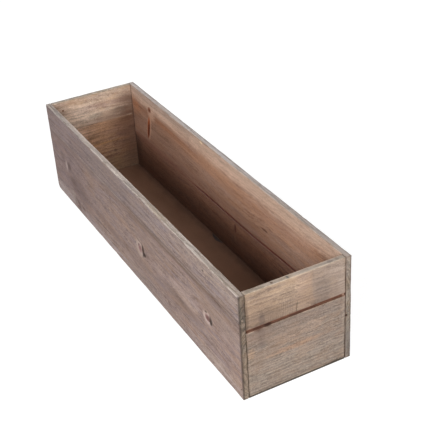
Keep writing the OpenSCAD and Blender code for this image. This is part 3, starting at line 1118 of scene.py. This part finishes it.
BACK_UPPER_STAINS_AND_SHADE = on("up", [
    (-25, 0.4, 60, 2.2, "746861", 0.75, 0.5, 0.1, 0.2),
]) + on("in", [
    (0, 126, 80, 4.5, "ac8e82", 0.7),
    (-34, 140, 20, 9, "ac8e78", 0.6, 0.7),
    (2, 110, 12, 4, "7a7468", 0.75),
    (45, 110, 12, 5, "686257", 0.75),
    (22, 106, 50, 6, "a08b7b", 0.5),
    (-57, 147, 3, 1.5, "503e32", 0.8),
    (-33, 111, 27, 22, "f2dcc8", 0.9, 0.7),
    # The dark patches at s 54, 56 and 76 are painted shade in the corner by the right wall, deepest
    # towards the seam.
    (54, 126, 12, 8, "765a4a", 0.45, 0.7),
    (26, 99, 42, 3, "927361", 0.6, 0.7),
    (56, 100, 12, 4, "604232", 0.7, 0.7),
    (38, 103, 22, 7, "786052", 0.6, 0.7),
    (76, 94, 36, 44, "5a3e30", 0.95, 0.7, 0.1, 0.25),
])

BOARDS = [
    Board(
        "left", "lower", 11, Grain(47.0, 50.0, 5.6, slope=0.006, wave=4.0, phase=0.6),
        faces(LEFT_OUT_LOWER, SIDE_IN_LOWER_SHADED, LEFT_UP, LEFT_END, "4a3a35", PALE_EDGE),
        knots=[
            Knot("out", 30, 62, 8.5, 9.5, "7e5c5a", "a8938a", "382825", "ac998e",
                 rim_share=0.95, crack=1.3, lean=1),
            Knot("out", 225, 69, 8.0, 5.5, "684a46", "80625c", "32221f", "bea9a0",
                 rim_share=0.95, crack=1.4, lean=1),
            Knot("out", -243, 66, 4, 6, "a6948e", "96827c", "604d48", "a6948e",
                 crack=0.6, rim_share=0.6, lean=1),
            Knot("in", 140, 40, 9, 7, "58382c", "785442", "38261e"),
        ],
        stains_and_shading=LEFT_LOWER_STAINS,
        contrast=(0.22, 0.65, 1.2, 0.2, 0.8, 2.0), worn_corner=(-1, 8.0), seam_edge=0.14),
    Board(
        "left", "upper", 12, Grain(60.0, 80.0, 5.4, wave=2.2, phase=2.1),
        faces(LEFT_OUT_UPPER, SIDE_IN_UPPER_LIT, LEFT_UP, LEFT_END, "4a3e3c", PALE_EDGE),
        stains_and_shading=LEFT_UPPER_STAINS_AND_HIGHLIGHT,
        contrast=(0.35, 0.75, 1.5, 0.2, 0.6, 2.2), tight=(272, 292), seam_edge=0.14, free_edge=0.35),
    Board(
        "right", "lower", 21, Grain(-40.0, 20.0, 6.2, slope=-0.004, wave=4.0, phase=1.3),
        faces(LEFT_OUT_LOWER, SIDE_IN_LOWER_SHADED, RIGHT_UP, RIGHT_END, "3e2c25", PALE_EDGE),
        knots=[
            Knot("in", 38, 48, 2.6, 6.5, "684436", "785242", "5c3e32", crack=0.4, rim_share=0.3),
            Knot("out", -120, 30, 9, 7, "5e443c", "80665c", "4e3a34", "a08c7e", crack=0.7, rim_share=0.5),
        ],
        stains_and_shading=RIGHT_LOWER_STAINS_AND_SHADE,
        contrast=(0.2, 0.6, 1.1, 0.2, 0.4, 1.8), raw=RIGHT_RAW, seam_edge=0.12, bow=3.8),
    Board(
        "right", "upper", 22, Grain(66.0, 92.0, 4.6, slope=0.003, wave=5.0, phase=4.2),
        faces(LEFT_OUT_UPPER, SIDE_IN_UPPER_LIT, RIGHT_UP, RIGHT_END, "583e32", PALE_EDGE),
        knots=[Knot("out", 90, 110, 10, 8, "664c44", "866e63", "503c36", "a49082", crack=0.7,
                    rim_share=0.5)],
        stains_and_shading=RIGHT_UPPER_STAINS,
        slits=[("in", -243.5, 75.0, -235.0, 113.0, 4.2, 0.9, 3)],
        contrast=(0.2, 0.65, 1.2, 0.2, 0.4, 2.0), tight=(-45, -110), raw=RIGHT_RAW, seam_edge=0.2,
        free_edge=0.35, bow=3.8),
    Board(
        "front", "lower", 31, Grain(70.0, -150.0, 5.0, slope=0.01, wave=1.0, phase=0.4),
        faces(FRONT_LOWER_OUT, END_IN_LOWER_SHADED, END_UP, END_END, "52453c", WARM_EDGE),
        stains_and_shading=FRONT_LOWER_STAINS_AND_SHADING,
        saws=[("out", 4.6, 0.26, -90, 90, -10, 34, False, 0.2),
              ("out", 4.1, 0.1, -90, 90, 36, 92, False, 0.8),
              ("out", 4.3, 0.08, -34, 26, 46, 84, True, 0.6)],
        contrast=(0.3, 0.6, 1.2, 0.1, 0.4, 2.0), relief=0.03, gaps=(0.5, 0.4), raw=FRONT_RAW),
    Board(
        "front", "upper", 32, Grain(60.0, -90.0, 8.2, slope=-0.004, wave=0.5, phase=3.4),
        faces(FRONT_UPPER_OUT, END_IN_UPPER_LIT, END_UP, END_END, "5c4a3e", WARM_EDGE),
        stains_and_shading=FRONT_UPPER_STAINS,
        slits=[("out", -0.6, 98.0, 1.6, 114.0, 1.0, 0.9, 7)],
        saws=[("out", 2.2, 0.3, -40, -4, 99, 119, True, 0.6)],
        contrast=(0.45, 0.45, 0.9, 0.1, 0.3, 1.7), relief=0.05, gaps=(1.1, 0.3), raw=FRONT_RAW),
    Board(
        "back", "lower", 41, Grain(70.0, -60.0, 8.0, slope=0.02, wave=2.0, phase=0.9),
        faces(FRONT_LOWER_OUT, END_IN_LOWER_SHADED, END_UP, END_END, "423026", WARM_EDGE),
        knots=[Knot("out", -40, 42, 9, 8, "705448", "927868", "543e38", "b09886", crack=0.7,
                    rim_share=0.5)],
        stains_and_shading=BACK_LOWER_STAINS_AND_SHADE,
        contrast=BACK_CONTRAST),
    Board(
        "back", "upper", 42, Grain(80.0, -40.0, 9.5, slope=-0.01, wave=2.0, phase=2.6),
        faces(FRONT_UPPER_OUT, END_IN_UPPER_LIT, BACK_UP, END_END, "685243", WARM_EDGE),
        knots=[Knot("in", -51, 133, 1.6, 1.4, "7c503e", "966a54", "6e4a3c", crack=0.2, rim_share=0.5)],
        stains_and_shading=BACK_UPPER_STAINS_AND_SHADE,
        contrast=BACK_CONTRAST),
]

for board in BOARDS:
    piece = build_board(board)
    piece.data.materials.append(wood_material(board))
    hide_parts(board.node)
    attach(piece, "root")


# The floor panel


def build_floor_panel():
    """A thin panel with eased edges, faint waves and the drain notch in its right edge."""
    low, high = (np.array(corner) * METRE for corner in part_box("floor_panel"))
    edges = [fine_ends(low[i], high[i], PANEL_EDGE_REACH, PANEL_EDGE_STEP) for i in range(2)]
    notch = (NOTCH_MIDDLE, NOTCH_REACH, NOTCH_STEP)
    x = stations([low[0], high[0]], PANEL_STEP_ALONG, edges[0] + [notch])
    y = stations([low[1], high[1]], PANEL_STEP_ACROSS, edges[1])
    z = np.array([0.0, PANEL_EDGE, FLOOR_THICKNESS / 2, FLOOR_THICKNESS - PANEL_EDGE, FLOOR_THICKNESS])
    *grid, quads = skin(np.ones((len(y) - 1, len(z) - 1), bool), x, y, z)
    point = eased(np.stack(grid, -1), low, high, PANEL_EDGE)
    arc_radius = (NOTCH_HALF_LENGTH**2 + NOTCH_DEPTH**2) / (2 * NOTCH_DEPTH)
    run = point[:, 0] - NOTCH_MIDDLE
    arc = np.sqrt(np.clip(arc_radius**2 - run**2, 0, None)) - (arc_radius - NOTCH_DEPTH)
    ragged = 0.25 * noise(51, point[:, 0] / 2.1) + 0.15
    cut = np.clip(arc, 0, None) * (1 + 0.04 * noise(52, point[:, 0] / 5)) + ragged * (arc > 0)
    point[:, 1] -= cut * smooth(point[:, 1], 30.0, high[1])
    inside = smooth(point[:, 2], 1.0, 2.2)
    point[:, 2] -= inside * (0.1 + 0.08 * noise(53, point[:, 0] / 60, point[:, 1] / 40))
    return make_mesh("floor_panel_sheet", point / METRE, quads, {})


def hardboard_material():
    """Smooth pressed fibre board: dark brown, with short fibres in all directions, dusty near the ends,
    painted shade along the foot of the right wall, and dark edges that also stand in for shade under the
    end boards.
    """
    w = Surface("hardboard_finish")
    x, y, z = w.place()
    nz = w.facing()[2]
    clouds = w.noise(x * 0.018, y * 0.03, z * 0.03, detail=4.0, roughness=0.6)
    flecks = w.noise(x * 0.55, y * 0.55, z * 0.55, detail=3.0, roughness=0.7, distortion=1.2)
    hairs = w.noise(x * 1.9, y * 1.9, z * 1.9, detail=2.0, roughness=0.7, distortion=2.5)
    colour = w.mix(clouds * 1.1 + flecks * 0.5 - 0.3, "a07c66", "745644")
    dust_and_shade_noise = w.noise(x * 0.06, y * 0.08, z, detail=4.0)
    ends = smooth(x.math("ABSOLUTE"), 284.0, 296.0)
    for share, tint in (
        (smooth(x, -120.0, 100.0) * 0.6, "a8846e"),
        (smooth(hairs, 0.58, 0.7) * 0.45, "b8967e"),
        (smooth(flecks, 0.4, 0.28) * 0.5, "584034"),
        # Darker along the right wall: painted shade where the floor meets the wall.
        (smooth(y + (dust_and_shade_noise - 0.5) * 12.0, 52.0, 66.0) * 0.6, "60463a"),
        (ends * smooth(dust_and_shade_noise, 0.42, 0.66) * 0.4, "9c8270"),
        (smooth(nz, -0.5, -0.8) * 0.5, "8c6c54"),
        # Paler away from the right wall: painted light, the lit side of the same shading.
        (smooth(y, 50.0, 25.0) * 0.5, "ae8c76"),
    ):
        colour = w.mix(share, colour, tint)
    # The edges, and the ends that lie under the end boards, are made dark: the board's dark edge and
    # painted shade under the end boards.
    rim = smooth(nz, 0.75, 0.45) * smooth(nz, -0.75, -0.45)
    rim = rim.math("MAXIMUM", smooth(x.math("ABSOLUTE"), HALF_LENGTH - 2.0, HALF_LENGTH - 1.2))
    colour = w.mix(rim, colour, w.mix(flecks, "5c5348", "3a332d"))
    height = flecks * 0.6 + hairs * 0.4
    return w.finish(colour, 0.62 + flecks * 0.2, height, 0.35, 0.0002)


panel = build_floor_panel()
panel.data.materials.append(hardboard_material())
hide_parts("floor_panel")
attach(panel, "root")


# Pins


def pin_material():
    """Dull steel under thin wash, with a little rust."""
    w = Surface("pin_finish")
    x, y, z = w.place()
    spots = w.noise(x * 1.1, y * 1.1, z * 1.1, detail=4.0, roughness=0.6)
    fine = w.noise(x * 4.0, y * 4.0, z * 4.0, detail=2.0)
    colour = w.mix(smooth(spots, 0.35, 0.65), "7a726c", "625044")
    colour = w.mix(smooth(fine, 0.55, 0.7) * 0.6, colour, "68422e")
    w.shader.inputs["Metallic"].default_value = 0.35
    return w.finish(colour, 0.5 + spots * 0.3, fine, 0.3, 0.0001)


PIN_FINISH = pin_material()
for name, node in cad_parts.items():
    if name.endswith("_pins"):
        node.data.materials.clear()
        node.data.materials.append(PIN_FINISH)


# Floor, light and camera, whose places are in metres

GROUND_HALF_SIZE = 30.0
GROUND_DROP = 0.00005
# The ground's grey, and what the camera sees of it: beside the box, and under it, where a dark colour,
# painted shade without the glow, starts some millimetres inside the box's outline
GROUND_COLOUR = (0.62, 0.62, 0.62, 1)
BESIDE_BOX = (0.3, 0.3, 0.3, 1)
UNDER_BOX_SHADE = (0.13, 0.1, 0.092, 1)
UNDER_BOX_INSET = 2.0
GROUND_GLOW = 0.86

corners = [(x * GROUND_HALF_SIZE, y * GROUND_HALF_SIZE, 0)
           for x, y in ((-1, -1), (1, -1), (1, 1), (-1, 1))]
ground_mesh = bpy.data.meshes.new("ground")
ground_mesh.from_pydata(corners, [], [(0, 1, 2, 3)])
ground = bpy.data.objects.new("ground", ground_mesh)
ground.location.z = -GROUND_DROP
bpy.context.scene.collection.objects.link(ground)


def seen_directly(tree):
    """1 for what the camera sees, straight or through a shiny or clear surface, and else 0."""
    path = add_node(tree, "LightPath")
    total = Field(tree, path.outputs["Is Camera Ray"])
    for other in ("Is Glossy Ray", "Is Transmission Ray"):
        total = total.math("MAXIMUM", Field(tree, path.outputs[other]))
    return total


finish = Surface("ground_finish")
tree = finish.tree
tree.nodes.remove(finish.shader)
x, y, _ = finish.place()
past_end = x.math("ABSOLUTE").math("GREATER_THAN", HALF_LENGTH - UNDER_BOX_INSET)
past_side = y.math("ABSOLUTE").math("GREATER_THAN", HALF_WIDTH - UNDER_BOX_INSET)
beside = past_end.math("MAXIMUM", past_side)
lit = add_node(tree, "BsdfDiffuse", {"Color": GROUND_COLOUR})
shown = add_node(tree, "BsdfDiffuse", {"Color": finish.mix(beside, UNDER_BOX_SHADE, BESIDE_BOX)})
glow = add_node(tree, "Emission", {"Strength": beside * GROUND_GLOW})
both = add_node(tree, "AddShader", {0: shown.outputs[0], 1: glow.outputs[0]})
shaders = {0: seen_directly(tree), 1: lit.outputs[0], 2: both.outputs[0]}
chosen = add_node(tree, "MixShader", shaders)
join(tree, tree.nodes["Material Output"].inputs["Surface"], chosen.outputs[0])
ground.data.materials.append(finish.material)

DOME_STRENGTH = 0.18
LAMP_TARGET = Vector((0.0, 0.0, 0.07))
world = bpy.data.worlds.new("studio")
bpy.context.scene.world = world
world.use_nodes = True
tree = world.node_tree
background = tree.nodes["Background"]
background.inputs["Color"].default_value = (1, 1, 1, 1)
direct = seen_directly(tree)
join(tree, background.inputs["Strength"], direct + (1.0 - direct) * DOME_STRENGTH)


def soft_light(name, place, size, power):
    """A large square lamp that points at the middle of the box."""
    lamp = bpy.data.lights.new(name, "AREA")
    lamp.shape = "SQUARE"
    lamp.size = size
    lamp.energy = power
    holder = bpy.data.objects.new(name, lamp)
    holder.location = place
    holder.rotation_euler = (LAMP_TARGET - Vector(place)).to_track_quat("-Z", "Y").to_euler()
    bpy.context.scene.collection.objects.link(holder)


soft_light("key", (1.15, -1.5, 0.98), 1.0, 40.0)
soft_light("front_fill", (2.3, -0.2, 1.0), 0.9, 20.0)
soft_light("back_fill", (-1.6, 1.6, 0.7), 1.4, 34.0)

CAMERA_PLACE = Vector((1.06040, -0.46955, 0.76755))
CAMERA_TARGET = Vector((0.029085, 0.041325, 0.074))
CAMERA_ROLL = -3.97545
CAMERA_LENS = 81.2017
camera = bpy.data.objects.new("camera", bpy.data.cameras.new("camera"))
camera.data.sensor_width = 36.0
camera.data.lens = CAMERA_LENS
camera.data.clip_end = 100.0
aim = (CAMERA_TARGET - CAMERA_PLACE).to_track_quat("-Z", "Y").to_matrix().to_4x4()
camera.matrix_world = (
    Matrix.Translation(CAMERA_PLACE) @ aim @ Matrix.Rotation(np.radians(CAMERA_ROLL), 4, "Z")
)
bpy.context.scene.collection.objects.link(camera)
bpy.context.scene.camera = camera
bpy.context.scene.view_settings.view_transform = "Standard"
